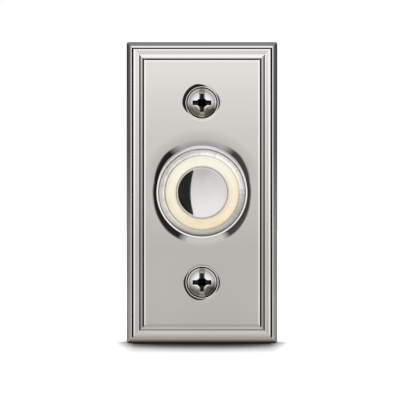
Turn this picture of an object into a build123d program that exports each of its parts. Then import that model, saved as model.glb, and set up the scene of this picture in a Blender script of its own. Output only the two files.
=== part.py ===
from build123d import *
import os
from math import asin, cos, radians, sin, tan

# Lighted doorbell push button for screwing on a wall. Sizes in millimetres.
# Modelled facing up: X to the right, Y up the wall, Z out of the wall, wall plane at Z = 0.
# Each finished part is turned at the end, so that up the wall is +Z and the front faces -Y.

# Face plate: outline, stepped border, raised panel and hollow back
plate_width = 35.0
plate_height = 70.0
panel_level = 9.0
corner_radius = 0.5
edge_bevel = 1.0
bevel_slope = 48.0
edge_land = 0.22
step_rise = 0.6
step_draft = 36.0
tier_land = 1.47
cove_radius = 3.5
cove_start = 33.0
cove_end = 47.0
panel_riser = 0.5
riser_draft = 31.0
side_wall = 2.0
face_thickness = 2.6
pocket_corner_radius = 1.5

# Mounting screws and the low collars they sit in
screw_spacing = 41.6
thread_radius = 1.75
shank_radius = 1.45
screw_hole_clearance = 0.3
screw_length = 30.0
screw_point_length = 4.5
screw_point_radius = 0.2
head_radius = 3.5
head_edge = 0.15
head_dome = 0.75
head_cone_angle = 82.0
head_sink = 0.12
head_clearance = 0.06
seat_rim = 0.12
seat_flare = 0.75
seat_slope = 46.0
boss_radius = 4.3
web_thickness = 1.6
web_setback = 1.5
cross_span = 4.5
cross_arm = 1.15
cross_centre = 2.35
cross_depth = 1.7
pit_depth = 1.5
cross_taper = 12.0
slot_width = 1.3
slot_depth = 0.62

# Button: collar of its opening in the plate, sleeve, light ring and domed cap
button_clearance = 0.15
collar_rim = 0.45
collar_rim_round = 0.12
collar_flare = 2.6
collar_slope = 42.0
flare_start = 1.5
button_proud = 3.4
sleeve_foot = 1.1
sleeve_lip = 0.35
sleeve_crown = 0.3
sleeve_lip_round = 0.3
flange_reach = 1.2
flange_thickness = 1.25
flange_gap = 0.05
press_travel = 1.5
stop_gap = 0.2
light_radius = 8.62
sleeve_wall = 0.6
light_fit = 0.05
light_edge_drop = 0.25
light_crown = 0.4
light_flange_reach = 0.68
light_flange_thickness = 0.95
light_ledge_depth = 4.4
light_wall = 1.0
light_web = 1.4
cap_radius = 5.95
cap_fit = 0.05
cap_rim = 0.35
cap_rim_drop = 0.1
cap_dome = 1.4
cap_edge = 1.6
stem_radius = 1.2
stem_fit = 0.02
stem_tail = 0.4
stem_boss_wall = 1.0

# Switch base behind the plate, with its two fixing posts and screws
base_width = 28.0
base_height = 27.0
base_thickness = 1.8
base_corner_radius = 2.0
post_inset = 2.4
post_radius = 2.1
base_screw_radius = 1.0
base_screw_fit = 0.03
base_screw_reach = 2.2
base_screw_head_radius = 1.9
base_screw_head_height = 1.2
barrel_radius = 9.25
barrel_wall = 1.4
barrel_depth = 12.0
barrel_floor = 2.0
spring_peg_radius = 1.6
spring_peg_height = 1.2
barrier_thickness = 1.0
barrier_height = 2.2

# Contacts and terminals
bridge_depth = 2.6
bridge_clearance = 0.9
bridge_thickness = 0.5
clip_radius = 1.9
clip_thickness = 0.4
contact_slack = 0.03
contact_thickness = 0.5
contact_width = 4.0
contact_leg_inset = 0.35
contact_pad_clearance = 0.6
contact_fit = 0.05
terminal_setback = 0.3
terminal_boss_radius = 1.9
terminal_screw_radius = 1.2
terminal_screw_fit = 0.03
terminal_screw_reach = 4.2
terminal_head_radius = 2.7
terminal_head_height = 1.4
terminal_washer_radius = 2.5
terminal_washer_thickness = 0.5
terminal_slot_width = 0.8
terminal_slot_depth = 0.7

# Return spring
spring_radius = 2.25
spring_wire_radius = 0.22
spring_turns = 6

# Circuit board and what stands on it
board_overlap = 0.45
board_fit = 0.1
board_thickness = 1.0
board_drop = 1.8
board_bore_clearance = 0.8
led_count = 3
led_first_angle = 270.0
led_radius = 1.5
led_flange_radius = 1.75
led_flange_height = 0.8
led_height = 4.2
leg_radius = 0.25
leg_pitch = 1.27
leg_tail = 0.7
leg_fit = 0.08
resistor_radius = 0.9
resistor_length = 3.4
diode_radius = 1.0
diode_length = 3.6
diode_y = -1.2
component_inset = 3.1
component_gap = 0.15
lead_overhang = 0.9
board_lead_radius = 0.3
board_lead_setback = 0.25
board_lead_head = 0.3

# Edges are picked by their level and radius to within this much
match_tolerance = 0.005

# Levels along Z and sizes that follow from the values above
riser_level = panel_level - panel_riser
tier_level = riser_level - cove_radius * (cos(radians(cove_start)) - cos(radians(cove_end)))
edge_level = tier_level - step_rise
bevel_level = edge_level - edge_bevel * tan(radians(bevel_slope))
step_inset = edge_bevel + edge_land
tier_inset = step_inset + step_rise * tan(radians(step_draft))
cove_inset = tier_inset + tier_land
riser_inset = cove_inset + cove_radius * (sin(radians(cove_end)) - sin(radians(cove_start)))
panel_inset = riser_inset + panel_riser * tan(radians(riser_draft))
pocket_level = panel_level - face_thickness
screw_y = screw_spacing / 2
head_slope = tan(radians(head_cone_angle / 2))
seat_level = panel_level + seat_flare * (cos(radians(flare_start)) - cos(radians(seat_slope)))
head_rim_level = seat_level - head_sink
head_top_level = head_rim_level + head_edge + head_dome
screw_hole_radius = thread_radius + screw_hole_clearance
seat_radius = head_radius + head_clearance + head_sink * head_slope

sleeve_bore = light_radius + light_fit
ledge_radius = light_radius + light_flange_reach + light_fit
button_radius = ledge_radius + sleeve_wall
opening_radius = button_radius + button_clearance
collar_level = panel_level + collar_flare * (cos(radians(flare_start)) - cos(radians(collar_slope)))
flange_radius = opening_radius + flange_reach
flange_top = pocket_level - flange_gap
flange_bottom = flange_top - flange_thickness
base_top = flange_bottom - press_travel - stop_gap
base_bottom = base_top - base_thickness
post_x = base_width / 2 - post_inset
post_y = base_height / 2 - post_inset
lip_level = panel_level + button_proud
ledge_level = lip_level - light_ledge_depth
light_edge_level = lip_level - light_edge_drop
light_hollow_radius = light_radius - light_wall
cap_pocket_radius = cap_radius + cap_fit
cap_rim_level = light_edge_level - cap_rim_drop
cap_seat_level = cap_rim_level - cap_edge
light_web_level = cap_seat_level - light_web
stem_bore = stem_radius + stem_fit
stem_boss_radius = stem_bore + stem_boss_wall

bridge_top = -bridge_depth
bridge_bottom = bridge_top - bridge_thickness
clip_bottom = bridge_bottom - clip_thickness
contact_top = bridge_bottom - press_travel - contact_slack
contact_bottom = contact_top - contact_thickness
barrel_end = -barrel_depth
floor_level = barrel_end + barrel_floor
barrel_bore = barrel_radius - barrel_wall
contact_leg_x = barrel_bore - contact_leg_inset
contact_leg_inside = contact_leg_x - contact_thickness
contact_pad_start = spring_radius + spring_wire_radius + contact_pad_clearance
terminal_x = contact_leg_inside - terminal_boss_radius - terminal_setback
board_lead_x = contact_leg_inside - board_lead_setback
bridge_radius = board_lead_x - board_lead_radius - bridge_clearance
foot_bottom = barrel_end - contact_thickness
washer_bottom = foot_bottom - terminal_washer_thickness
terminal_hole_radius = terminal_screw_radius + terminal_screw_fit

board_radius = barrel_bore + board_overlap
board_top = base_top - board_drop
board_bottom = board_top - board_thickness
board_bore = stem_boss_radius + board_bore_clearance
leg_hole_radius = leg_radius + leg_fit
led_circle_radius = (stem_boss_radius + light_hollow_radius) / 2
resistor_y = board_radius - component_inset
diode_x = component_inset - board_radius
resistor_reach = resistor_length / 2 + lead_overhang
diode_reach = diode_length / 2 + lead_overhang


def rod(radius, z_from, z_to, x=0.0, y=0.0):
    return Pos(x, y, (z_from + z_to) / 2) * Cylinder(radius, z_to - z_from)


def block(x_from, x_to, y_from, y_to, z_from, z_to):
    centre = Pos((x_from + x_to) / 2, (y_from + y_to) / 2, (z_from + z_to) / 2)
    return centre * Box(x_to - x_from, y_to - y_from, z_to - z_from)


def turned(*lines):
    return revolve(make_face(Curve() + [*lines]), Axis.Z)


def outline(*points):
    return Polyline(*[(radius, 0, level) for radius, level in points])


def bow(start, end, rise):
    """Arc between two points of a turned profile, bowed to the left of the way from start to end."""
    along_r = end[0] - start[0]
    along_z = end[1] - start[1]
    length = (along_r**2 + along_z**2) ** 0.5
    middle_r = (start[0] + end[0]) / 2 - along_z / length * rise
    middle_z = (start[1] + end[1]) / 2 + along_r / length * rise
    return ThreePointArc((start[0], 0, start[1]), (middle_r, 0, middle_z), (end[0], 0, end[1]))


def dome(edge_radius, edge_level, rise):
    """Arc from the edge of a turned dome to its middle."""
    ball = (edge_radius**2 + rise**2) / (2 * rise)
    half_angle = asin(edge_radius / ball) / 2
    middle_level = edge_level + rise - ball * (1 - cos(half_angle))
    return ThreePointArc(
        (edge_radius, 0, edge_level),
        (ball * sin(half_angle), 0, middle_level),
        (0, 0, edge_level + rise),
    )


def edges_at(shape, level):
    return shape.edges().filter_by_position(Axis.Z, level - match_tolerance, level + match_tolerance)


def circles_at(shape, level, radius):
    rims = edges_at(shape, level).filter_by(GeomType.CIRCLE)
    return rims.filter_by(lambda rim: abs(rim.radius - radius) < match_tolerance)


def post_places():
    return [(post_x, post_y), (-post_x, -post_y)]


def led_places():
    places = []
    for number in range(led_count):
        angle = radians(led_first_angle + number * 360.0 / led_count)
        places.append((led_circle_radius * cos(angle), led_circle_radius * sin(angle)))
    return places


# Face plate: one casting, stepped up in tiers to a raised panel and hollow at the back
def moulding(width, length):
    """Length of the border's section, from a bevelled edge over the step and the cove to the panel."""
    half = width / 2
    middle_angle = radians((cove_start + cove_end) / 2)
    cove_middle = (
        half - cove_inset - cove_radius * (sin(middle_angle) - sin(radians(cove_start))),
        tier_level + cove_radius * (cos(radians(cove_start)) - cos(middle_angle)),
    )
    lower = [
        (half, 0),
        (half, bevel_level),
        (half - edge_bevel, edge_level),
        (half - step_inset, edge_level),
        (half - tier_inset, tier_level),
        (half - cove_inset, tier_level),
    ]
    riser = (half - riser_inset, riser_level)
    panel = (half - panel_inset, panel_level)
    lines = outline((-half, 0), (half, 0)) + outline((-panel[0], panel_level), panel)
    for side in (-1, 1):
        cove = [(side * x, 0, z) for x, z in (lower[-1], cove_middle, riser)]
        lines += outline(*[(side * x, z) for x, z in lower])
        lines += ThreePointArc(*cove)
        lines += outline((side * riser[0], riser_level), (side * panel[0], panel_level))
    return extrude(make_face(lines), length / 2, both=True)


def stepped_front():
    blank = extrude(RectangleRounded(plate_width, plate_height, corner_radius), panel_level)
    across = moulding(plate_width, plate_height)
    along = Rot(0, 0, 90) * moulding(plate_height, plate_width)
    return blank & across & along


# Collar: round boss whose side flares out into the panel, with a flat rim on top
def collar(rim_radius, flare, slope):
    tilts = [radians(angle) for angle in (slope, (slope + flare_start) / 2, flare_start)]
    centre_radius = rim_radius + flare * sin(tilts[0])
    centre_level = panel_level + flare * cos(tilts[-1])
    side = [(centre_radius - flare * sin(tilt), centre_level - flare * cos(tilt)) for tilt in tilts]
    top, middle, foot = side
    return turned(
        ThreePointArc(*[(radius, 0, level) for radius, level in (top, middle, foot)]),
        outline(foot, (foot[0], pocket_level), (0, pocket_level), (0, top[1]), top),
    )


def face_plate():
    body = stepped_front()
    pocket_width = plate_width - 2 * side_wall
    pocket_height = plate_height - 2 * side_wall
    body -= extrude(RectangleRounded(pocket_width, pocket_height, pocket_corner_radius), pocket_level)
    for side in (-1, 1):
        body += rod(boss_radius, 0, pocket_level, 0, side * screw_y)
        web = block(-web_thickness / 2, web_thickness / 2, screw_y, pocket_height / 2, web_setback, pocket_level)
        body += web if side > 0 else mirror(web, Plane.XZ)
    for x, y in post_places():
        body += rod(post_radius, base_top, pocket_level, x, y)
        body -= rod(base_screw_radius + base_screw_fit, base_top, pocket_level, x, y)
    body += collar(opening_radius + collar_rim, collar_flare, collar_slope)
    body -= rod(opening_radius, pocket_level, collar_level)
    cone_depth = (seat_radius - screw_hole_radius) / head_slope
    for side in (-1, 1):
        body += Pos(0, side * screw_y, 0) * collar(seat_radius + seat_rim, seat_flare, seat_slope)
        body -= rod(screw_hole_radius, 0, seat_level, 0, side * screw_y)
        cone = Cone(screw_hole_radius, seat_radius, cone_depth)
        body -= Pos(0, side * screw_y, seat_level - cone_depth / 2) * cone
    return fillet(circles_at(body, collar_level, opening_radius), collar_rim_round)


# Mounting screw: oval head with a cross recess and a shallow slot, shank and pointed thread blank
def cross_recess():
    bars = Rectangle(cross_span, cross_arm) + Rectangle(cross_arm, cross_span)
    star = bars + Rot(0, 0, 45) * Rectangle(cross_centre, cross_centre)
    recess = Pos(0, 0, head_top_level) * extrude(star, -cross_depth, taper=cross_taper)
    pit_radius = cross_centre / 2 - cross_depth * tan(radians(cross_taper))
    pit_level = head_top_level - cross_depth - pit_depth / 2
    return recess + Pos(0, 0, pit_level) * Cone(0, pit_radius, pit_depth)


def mounting_screw():
    neck_level = head_rim_level - (head_radius - shank_radius) / head_slope
    point_level = head_rim_level + head_edge - screw_length
    body = turned(
        dome(head_radius, head_rim_level + head_edge, head_dome),
        outline(
            (0, head_top_level),
            (0, point_level),
            (screw_point_radius, point_level),
            (thread_radius, point_level + screw_point_length),
            (thread_radius, 0),
            (shank_radius, 0),
            (shank_radius, neck_level),
            (head_radius, head_rim_level),
            (head_radius, head_rim_level + head_edge),
        ),
    )
    slot_floor = head_top_level - slot_depth
    body -= block(-slot_width / 2, slot_width / 2, -head_radius, head_radius, slot_floor, head_top_level)
    return body - cross_recess()


def mounting_screws():
    return Part() + [Pos(0, side * screw_y, 0) * mounting_screw() for side in (-1, 1)]


# Button sleeve: pearly moulded ring with a rounded front and a flange that stops under the plate
def button_sleeve():
    foot = (button_radius, collar_level + sleeve_foot)
    lip = (sleeve_bore + sleeve_lip, lip_level)
    body = turned(
        outline(
            lip,
            (sleeve_bore, lip_level),
            (sleeve_bore, ledge_level),
            (ledge_radius, ledge_level),
            (ledge_radius, flange_bottom),
            (flange_radius, flange_bottom),
            (flange_radius, flange_top),
            (button_radius, flange_top),
            foot,
        ),
        bow(foot, lip, -sleeve_crown),
    )
    return fillet(circles_at(body, lip_level, sleeve_bore + sleeve_lip), sleeve_lip_round)


# Light ring: clear moulding with a crowned ring, a web under the cap and a long boss for its stem
def light_ring():
    flange_radius_inside = light_radius + light_flange_reach
    outer = (light_radius, light_edge_level)
    inner = (cap_pocket_radius, light_edge_level)
    return turned(
        outline(
            inner,
            (cap_pocket_radius, cap_seat_level),
            (stem_bore, cap_seat_level),
            (stem_bore, bridge_top),
            (stem_boss_radius, bridge_top),
            (stem_boss_radius, light_web_level),
            (light_hollow_radius, light_web_level),
            (light_hollow_radius, ledge_level - light_flange_thickness),
            (flange_radius_inside, ledge_level - light_flange_thickness),
            (flange_radius_inside, ledge_level),
            (light_radius, ledge_level),
            outer,
        ),
        bow(outer, inner, -light_crown),
    )


# Cap: turned disc with a domed face and a rounded rim, on a stem that runs through the light ring
def button_cap():
    dome_edge = cap_radius - cap_rim
    stem_end = clip_bottom - stem_tail
    body = turned(
        dome(dome_edge, cap_rim_level, cap_dome),
        outline(
            (dome_edge, cap_rim_level),
            (cap_radius, cap_rim_level),
            (cap_radius, cap_seat_level),
            (stem_radius, cap_seat_level),
            (stem_radius, stem_end),
            (0, stem_end),
            (0, cap_rim_level + cap_dome),
        ),
    )
    return fillet(circles_at(body, cap_rim_level, cap_radius), cap_rim / 2)


# Contact bridge and its push-on clip, held on the end of the stem
def contact_bridge():
    return rod(bridge_radius, bridge_bottom, bridge_top) - rod(stem_bore, bridge_bottom, bridge_top)


def stem_clip():
    return rod(clip_radius, clip_bottom, bridge_bottom) - rod(stem_bore, clip_bottom, bridge_bottom)


# Return spring: plain coil standing on the floor of the barrel, under the bridge
def return_spring():
    height = bridge_bottom - floor_level - 2 * spring_wire_radius
    path = Helix(height / spring_turns, height, spring_radius)
    section = Plane(path @ 0, z_dir=path % 0) * Circle(spring_wire_radius)
    return Pos(0, 0, floor_level + spring_wire_radius) * sweep(section, path)


# Switch base: flange under the posts and a barrel that reaches into the wall
def switch_base():
    slab = extrude(RectangleRounded(base_width, base_height, base_corner_radius), base_thickness)
    body = Pos(0, 0, base_bottom) * slab
    body += rod(barrel_radius, barrel_end, base_bottom)
    body -= rod(barrel_bore, floor_level, base_top)
    body -= rod(board_radius + board_fit, board_bottom, base_top)
    body += rod(spring_peg_radius, floor_level, floor_level + spring_peg_height)
    for x, y in post_places():
        body -= rod(base_screw_radius + base_screw_fit, base_bottom, base_top, x, y)
    slot_half = contact_width / 2 + contact_fit
    for side in (-1, 1):
        terminal = side * terminal_x
        body += rod(terminal_boss_radius, floor_level, contact_bottom, terminal)
        body -= rod(terminal_hole_radius, barrel_end, barrel_end + terminal_screw_reach, terminal)
        slot_near = side * (contact_leg_inside - contact_fit)
        slot_far = side * (contact_leg_x + contact_fit)
        slot_sides = sorted((slot_near, slot_far))
        body -= block(*slot_sides, -slot_half, slot_half, barrel_end, floor_level)
    reach = barrel_bore
    half = barrier_thickness / 2
    return body + block(-half, half, -reach, reach, barrel_end - barrier_height, barrel_end)


def base_screw():
    head_level = base_bottom - base_screw_head_height
    body = rod(base_screw_head_radius, head_level, base_bottom)
    body = fillet(circles_at(body, head_level, base_screw_head_radius), base_screw_head_height / 2)
    body += rod(base_screw_radius, base_bottom, base_top + base_screw_reach)
    slot_top = head_level + base_screw_head_height / 2
    half = base_screw_radius / 4
    return body - block(-half, half, -base_screw_head_radius, base_screw_head_radius, head_level, slot_top)


def base_screws():
    return Part() + [Pos(x, y, 0) * base_screw() for x, y in post_places()]


# Fixed contact: strip with a pad under the bridge, a leg through the floor and a foot on the back
def fixed_contact():
    half = contact_width / 2
    pad = block(contact_pad_start, contact_leg_x, -half, half, contact_bottom, contact_top)
    leg = block(contact_leg_inside, contact_leg_x, -half, half, foot_bottom, contact_top)
    foot = block(terminal_x - half, contact_leg_x, -half, half, foot_bottom, barrel_end)
    return pad + leg + foot - rod(terminal_hole_radius, foot_bottom, barrel_end, terminal_x)


def terminal_screw():
    head_level = washer_bottom - terminal_head_height
    body = rod(terminal_head_radius, head_level, washer_bottom)
    body = fillet(circles_at(body, head_level, terminal_head_radius), terminal_head_height / 3)
    body += rod(terminal_screw_radius, washer_bottom, barrel_end + terminal_screw_reach)
    half = terminal_slot_width / 2
    slot_top = head_level + terminal_slot_depth
    return body - block(-half, half, -terminal_head_radius, terminal_head_radius, head_level, slot_top)


def terminal_screws():
    return Part() + [Pos(side * terminal_x, 0, 0) * terminal_screw() for side in (-1, 1)]


def terminal_washer():
    washer = rod(terminal_washer_radius, washer_bottom, foot_bottom)
    return washer - rod(terminal_hole_radius, washer_bottom, foot_bottom)


def terminal_washers():
    return Part() + [Pos(side * terminal_x, 0, 0) * terminal_washer() for side in (-1, 1)]


# Circuit board: ring on the ledge of the barrel, drilled for the legs of what it carries
def board_holes():
    holes = []
    for x, y in led_places():
        holes.append((x - leg_pitch / 2, y, leg_hole_radius))
        holes.append((x + leg_pitch / 2, y, leg_hole_radius))
    for side in (-1, 1):
        holes.append((side * resistor_reach, resistor_y, leg_hole_radius))
        holes.append((diode_x, diode_y + side * diode_reach, leg_hole_radius))
        holes.append((side * board_lead_x, 0, board_lead_radius + leg_fit))
    return holes


def circuit_board():
    body = rod(board_radius, board_bottom, board_top) - rod(board_bore, board_bottom, board_top)
    for x, y, radius in board_holes():
        body -= rod(radius, board_bottom, board_top, x, y)
    return body


def led(x, y):
    dome_level = board_top + led_height - led_radius
    body = rod(led_flange_radius, board_top, board_top + led_flange_height, x, y)
    body += rod(led_radius, board_top, dome_level, x, y)
    body += Pos(x, y, dome_level) * Sphere(led_radius)
    for side in (-1, 1):
        body += rod(leg_radius, board_bottom - leg_tail, board_top, x + side * leg_pitch / 2, y)
    return body


# Wired component under the board: a bare cylinder whose two leads turn up through the board
def wired_component(radius, length):
    level = board_bottom - component_gap - radius
    reach = length / 2 + lead_overhang
    lying = Rot(0, 90, 0)
    body = Pos(0, 0, level) * lying * Cylinder(radius, length)
    body += Pos(0, 0, level) * lying * Cylinder(leg_radius, 2 * reach)
    for side in (-1, 1):
        body += rod(leg_radius, level, board_top, side * reach)
        body += Pos(side * reach, 0, level) * Sphere(leg_radius)
    return body


def resistor():
    return Pos(0, resistor_y, 0) * wired_component(resistor_radius, resistor_length)


def rectifier_diode():
    return Pos(diode_x, diode_y, 0) * Rot(0, 0, 90) * wired_component(diode_radius, diode_length)


def board_lead():
    return rod(board_lead_radius, contact_top, board_top + board_lead_head, board_lead_x)


parts = {
    "face_plate": face_plate(),
    "mounting_screws": mounting_screws(),
    "button_sleeve": button_sleeve(),
    "light_ring": light_ring(),
    "button_cap": button_cap(),
    "contact_bridge": contact_bridge(),
    "stem_clip": stem_clip(),
    "return_spring": return_spring(),
    "switch_base": switch_base(),
    "base_screws": base_screws(),
    "contact_right": fixed_contact(),
    "contact_left": mirror(fixed_contact(), Plane.YZ),
    "terminal_screws": terminal_screws(),
    "terminal_washers": terminal_washers(),
    "circuit_board": circuit_board(),
    "resistor": resistor(),
    "rectifier_diode": rectifier_diode(),
    "board_lead_right": board_lead(),
    "board_lead_left": mirror(board_lead(), Plane.YZ),
}
for number, (x, y) in enumerate(led_places(), 1):
    parts[f"led_{number}"] = led(x, y)

os.makedirs("parts", exist_ok=True)
for name, shape in parts.items():
    export_step(Rot(90, 0, 0) * shape, f"parts/{name}.step")
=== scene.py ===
import math

import bmesh
import bpy
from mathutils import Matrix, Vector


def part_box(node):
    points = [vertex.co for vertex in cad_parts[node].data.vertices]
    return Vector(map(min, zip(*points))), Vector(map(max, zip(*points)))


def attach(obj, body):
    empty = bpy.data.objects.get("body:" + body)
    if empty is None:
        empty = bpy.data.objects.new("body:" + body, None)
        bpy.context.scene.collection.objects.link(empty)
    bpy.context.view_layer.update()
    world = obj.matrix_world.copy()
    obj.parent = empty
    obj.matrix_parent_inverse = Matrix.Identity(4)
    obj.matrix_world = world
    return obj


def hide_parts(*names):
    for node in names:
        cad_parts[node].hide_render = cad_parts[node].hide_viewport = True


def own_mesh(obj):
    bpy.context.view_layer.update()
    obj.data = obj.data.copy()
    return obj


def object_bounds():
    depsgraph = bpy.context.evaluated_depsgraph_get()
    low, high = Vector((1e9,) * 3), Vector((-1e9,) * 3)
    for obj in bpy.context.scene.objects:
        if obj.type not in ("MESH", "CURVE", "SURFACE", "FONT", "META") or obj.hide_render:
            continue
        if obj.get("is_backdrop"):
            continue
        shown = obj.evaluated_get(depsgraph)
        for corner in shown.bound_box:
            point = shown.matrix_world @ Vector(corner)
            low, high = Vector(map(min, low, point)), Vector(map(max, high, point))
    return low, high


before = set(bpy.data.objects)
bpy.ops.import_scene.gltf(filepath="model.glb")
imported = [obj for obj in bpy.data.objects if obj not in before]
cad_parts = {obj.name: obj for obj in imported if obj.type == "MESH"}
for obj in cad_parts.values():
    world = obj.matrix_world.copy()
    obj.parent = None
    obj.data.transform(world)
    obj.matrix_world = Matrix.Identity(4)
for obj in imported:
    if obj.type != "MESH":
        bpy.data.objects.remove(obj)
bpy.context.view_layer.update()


# Face plate: one zinc die-casting, stepped up to a raised panel, with a flared collar round the button and
# each screw. Nickel plated in front and brushed up and down. Its colour carries painted light: dark lines of
# painted shade up the steps, dark crescents of painted shade and reflection round the collars, painted
# highlights along the edges and rims, and a tone painted lighter towards the top. The hollow back is rough as
# cast.
def add_node(tree, kind, inputs=None, **settings):
    made = tree.nodes.new(kind)
    for name, value in settings.items():
        setattr(made, name, value)
    for socket, value in (inputs or {}).items():
        if isinstance(value, bpy.types.NodeSocket):
            tree.links.new(value, made.inputs[socket])
        else:
            made.inputs[socket].default_value = value
    return made


def new_finish(name):
    """Material, its node tree, its shader and the place of each point on the object."""
    material = bpy.data.materials.new(name)
    material.use_nodes = True
    tree = material.node_tree
    place = add_node(tree, "ShaderNodeTexCoord").outputs["Object"]
    return material, tree, tree.nodes["Principled BSDF"], place


def parts_of(tree, vector):
    return add_node(tree, "ShaderNodeSeparateXYZ", {"Vector": vector}).outputs


def vector_of(tree, **parts):
    return add_node(tree, "ShaderNodeCombineXYZ", parts).outputs[0]


def length_of(tree, vector):
    return add_node(tree, "ShaderNodeVectorMath", {0: vector}, operation="LENGTH").outputs["Value"]


def facing_of(tree):
    """X, Y and Z of the direction that the surface faces."""
    return parts_of(tree, add_node(tree, "ShaderNodeTexCoord").outputs["Normal"])


def grain(tree, place, per_metre, detail=3.0):
    """Noise from 0 to 1 with so many waves to the metre along X, Y and Z."""
    laid = add_node(tree, "ShaderNodeMapping", {"Vector": place, "Scale": per_metre})
    noise = {"Vector": laid.outputs[0], "Scale": 1.0, "Detail": detail}
    return add_node(tree, "ShaderNodeTexNoise", noise).outputs[0]


def spread(tree, value, low, high, start=0.3, end=0.7):
    """Goes from low to high while the value goes from start to end."""
    span = {"Value": value, "From Min": start, "From Max": end, "To Min": low, "To Max": high}
    return add_node(tree, "ShaderNodeMapRange", span).outputs[0]


def calculate(tree, operation, *values):
    return add_node(tree, "ShaderNodeMath", dict(enumerate(values)), operation=operation).outputs[0]


def product(tree, value, *others):
    for other in others:
        value = calculate(tree, "MULTIPLY", value, other)
    return value


def colour(value):
    """A socket as it is, or three numbers with full cover."""
    return value if isinstance(value, bpy.types.NodeSocket) else (*value, 1.0)


def between(tree, share, first, second, **settings):
    """Colour that goes from first to second; each is three numbers or a socket."""
    ends = {0: share, 6: colour(first), 7: colour(second)}
    return add_node(tree, "ShaderNodeMix", ends, data_type="RGBA", **settings).outputs[2]


def times(tree, first, second):
    return between(tree, 1.0, first, second, blend_type="MULTIPLY")


def tone_along(tree, value, tones, full):
    """Tone from a list of places and tones along a length that starts at 0."""
    scale = add_node(tree, "ShaderNodeValToRGB", {"Fac": calculate(tree, "DIVIDE", value, full)})
    stops = scale.color_ramp.elements
    for number, (at, tone) in enumerate(tones):
        stop = stops[number] if number < len(stops) else stops.new(at / full)
        stop.position = at / full
        stop.color = (tone, tone, tone, 1.0)
    return scale.outputs[0]


def round_axis(tree, place, height=0.0):
    """Distance from the axis and turn about it, of a round piece or of two above and below the middle."""
    spot = parts_of(tree, place)
    rise = calculate(tree, "SUBTRACT", calculate(tree, "ABSOLUTE", spot["Z"]), height)
    away = length_of(tree, vector_of(tree, X=spot["X"], Z=rise))
    return away, calculate(tree, "ARCTAN2", rise, spot["X"])


def set_shader(tree, shader, **values):
    """Sets sockets of a shader, each by its name in small letters."""
    for name, value in values.items():
        socket = shader.inputs[name.replace("_", " ").title().replace("Ior", "IOR")]
        if isinstance(value, bpy.types.NodeSocket):
            tree.links.new(value, socket)
        else:
            socket.default_value = value


def raise_relief(tree, shader, height, depth, surface=None):
    bump = {"Height": height, "Distance": depth, "Strength": 1.0}
    if surface:
        bump["Normal"] = surface
    bump = add_node(tree, "ShaderNodeBump", bump)
    tree.links.new(bump.outputs[0], shader.inputs["Normal"])


def dress(material, *nodes):
    for name in nodes:
        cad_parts[name].material_slots[0].material = material


millimetres = 1000.0
plate_half_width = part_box("face_plate")[1].x
plate_half_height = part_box("face_plate")[1].z
plate_height = 2 * plate_half_height * millimetres
screw_spacing = 0.0416
nickel_tint = (1.0, 0.962, 0.915)
nickel_haze = (0.86, 0.83, 0.79)
painted_highlight = (1.0, 0.985, 0.96)
painted_shade_colour = (0.02, 0.019, 0.018)
cast_dark = (0.42, 0.42, 0.41)
cast_pale = (0.54, 0.535, 0.52)
belt_share = 0.05

# The plated front ends where the facing direction's Y passes these, but for a skin at the outline.
front_slope = (-0.45, -0.35)
outline_skin = (0.02, 0.05)

# Tones of the border at the sides, top and bottom, by millimetres in from the outline: painted light, with
# dark lines of painted shade up the steps and bright bands of painted highlight.
border_width = 5.0
side_tones = (
    (0.0, 1.0), (0.86, 0.8),  # bevel
    (0.96, 1.7), (1.12, 1.7),  # painted highlight on the land
    (1.15, 0.005), (1.57, 0.005),  # dark line up the step
    (1.64, 1.7), (1.85, 1.7),  # painted highlight on the edge of the tier
    (2.1, 1.0), (2.62, 1.0), (2.72, 1.3), (2.86, 1.3),  # tier
    (2.90, 0.08), (3.11, 0.08), (3.15, 0.42), (3.26, 0.48),  # dark start of the cove
    (3.42, 1.2), (3.66, 1.2),  # cove
    (3.75, 0.003), (4.10, 0.003),  # dark line up to the panel
    (4.13, 2.0), (4.35, 1.5), (4.55, 1.0),  # painted highlight on the edge of the panel
)
top_tones = (
    (0.0, 0.2), (0.2, 0.60), (0.84, 0.66),  # bevel
    (0.93, 1.6), (1.36, 1.6),  # painted highlight on the land
    (1.40, 0.005), (1.68, 0.005),  # dark line up the step
    (1.72, 1.5), (1.9, 1.15),  # painted highlight on the edge of the tier
    (2.1, 0.90), (2.35, 0.80), (2.6, 0.82), (2.9, 0.95),  # tier
    (3.1, 1.3), (3.85, 1.4),  # cove
    (3.94, 0.005), (4.26, 0.003),  # dark line up to the panel
    (4.30, 1.4), (4.5, 1.15), (4.8, 1.0),  # painted highlight on the edge of the panel
)
bottom_tones = (
    (0.0, 0.02), (0.2, 0.04), (0.5, 0.42), (0.85, 1.1),  # bevel, dark at the floor
    (1.07, 0.8), (1.3, 1.25), (1.66, 1.35),  # land and step
    (1.72, 1.0), (2.0, 1.1), (2.3, 1.25), (2.8, 1.3),  # tier
    (3.0, 0.9), (3.1, 0.40), (3.25, 0.5),  # dark start of the cove
    (3.5, 1.15), (3.75, 1.35), (4.04, 1.4),  # cove
    (4.12, 0.75), (4.35, 0.8), (4.6, 1.0),  # edge of the panel
)

# Tones of the sides' outer rim and bevel and of the whole front, by millimetres up from the bottom: painted
# light, with the rim and bevel painted darker towards the top and the front painted lighter towards the top.
rim_end = (0.2, 0.6)
bevel_end = (0.86, 0.95)
rim_painted_light = (
    (0.0, 0.9), (10.0, 0.8), (26.0, 0.7), (35.0, 0.54),
    (45.0, 0.23), (54.0, 0.13), (61.0, 0.05), (70.0, 0.035),
)
bevel_painted_light = (
    (0.0, 1.6), (10.0, 1.55), (17.0, 1.2), (26.0, 1.1),
    (35.0, 0.69), (45.0, 0.42), (54.0, 0.40), (70.0, 0.35),
)
front_painted_light = (
    (0.0, 0.45), (10.0, 0.50), (22.0, 0.50), (35.0, 0.58),
    (49.5, 0.66), (56.5, 0.73), (63.4, 0.81), (70.0, 0.85),
)
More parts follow.
